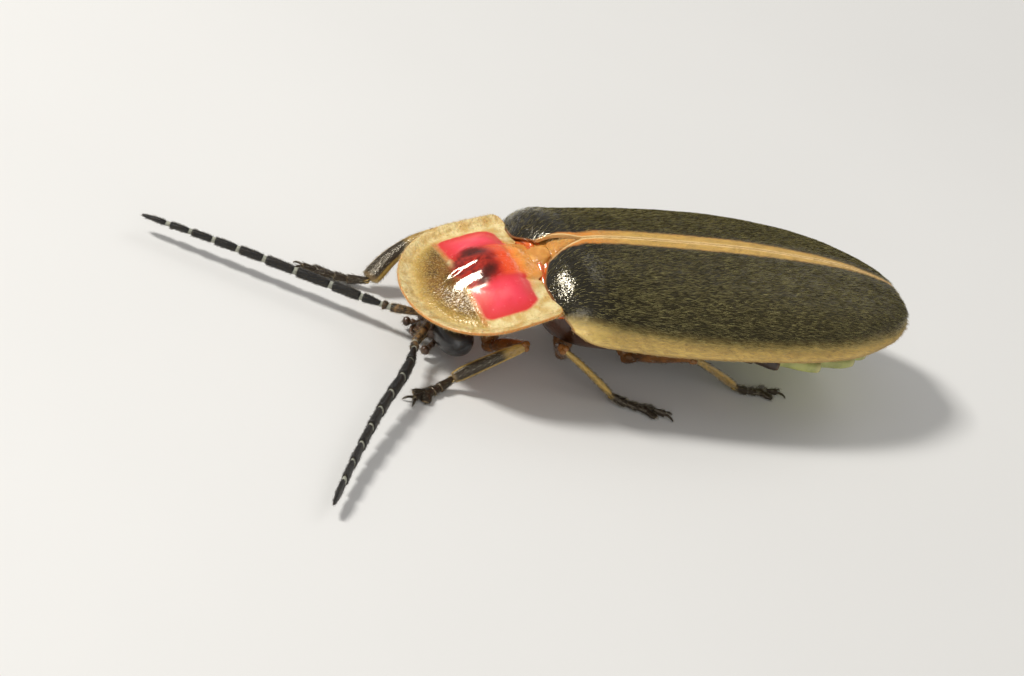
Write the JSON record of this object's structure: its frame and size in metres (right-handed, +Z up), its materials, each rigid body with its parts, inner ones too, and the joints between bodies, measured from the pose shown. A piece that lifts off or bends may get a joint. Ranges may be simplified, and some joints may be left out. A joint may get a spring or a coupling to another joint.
{
  "type": "firefly",
  "caption": "Life-size still model of a firefly beetle standing with wing covers closed, head turned down under a broad shield, feelers spread forward.",
  "frame": {"origin": "centre of the footprint of the whole model, at floor level", "axes": "+X towards the tail, +Y towards the beetle's right side, +Z up"},
  "size_m": [0.0171, 0.01, 0.0031],
  "materials": {
    "elytra": "charcoal shell with short golden hairs",
    "pronotum": "cream rim, two red patches and a dark centre, glossy",
    "scutellum": "orange tan, glossy",
    "thorax": "orange brown, satin",
    "abdomen": "dark brown rings",
    "lantern": "pale yellow green, waxy",
    "head": "dark brown, satin",
    "eyes": "black, finely faceted",
    "antennae": "black joints with pale rings and fine hairs",
    "legs": "amber thighs, tan shins turning dark at the toes"
  },
  "bodies": {
    "root": {"elytron_left": "elytra", "elytron_right": "elytra", "pronotum": "pronotum", "scutellum": "scutellum", "prothorax": "thorax", "thorax": "thorax", "abdomen": "abdomen", "lantern": "lantern", "tail_segment": "lantern", "head": "head", "eye_left": "eyes", "eye_right": "eyes", "antenna_left": "antennae", "antenna_right": "antennae", "leg_front_left": "legs", "leg_middle_left": "legs", "leg_hind_left": "legs", "leg_front_right": "legs", "leg_middle_right": "legs", "leg_hind_right": "legs"}
  },
  "joints": []
}
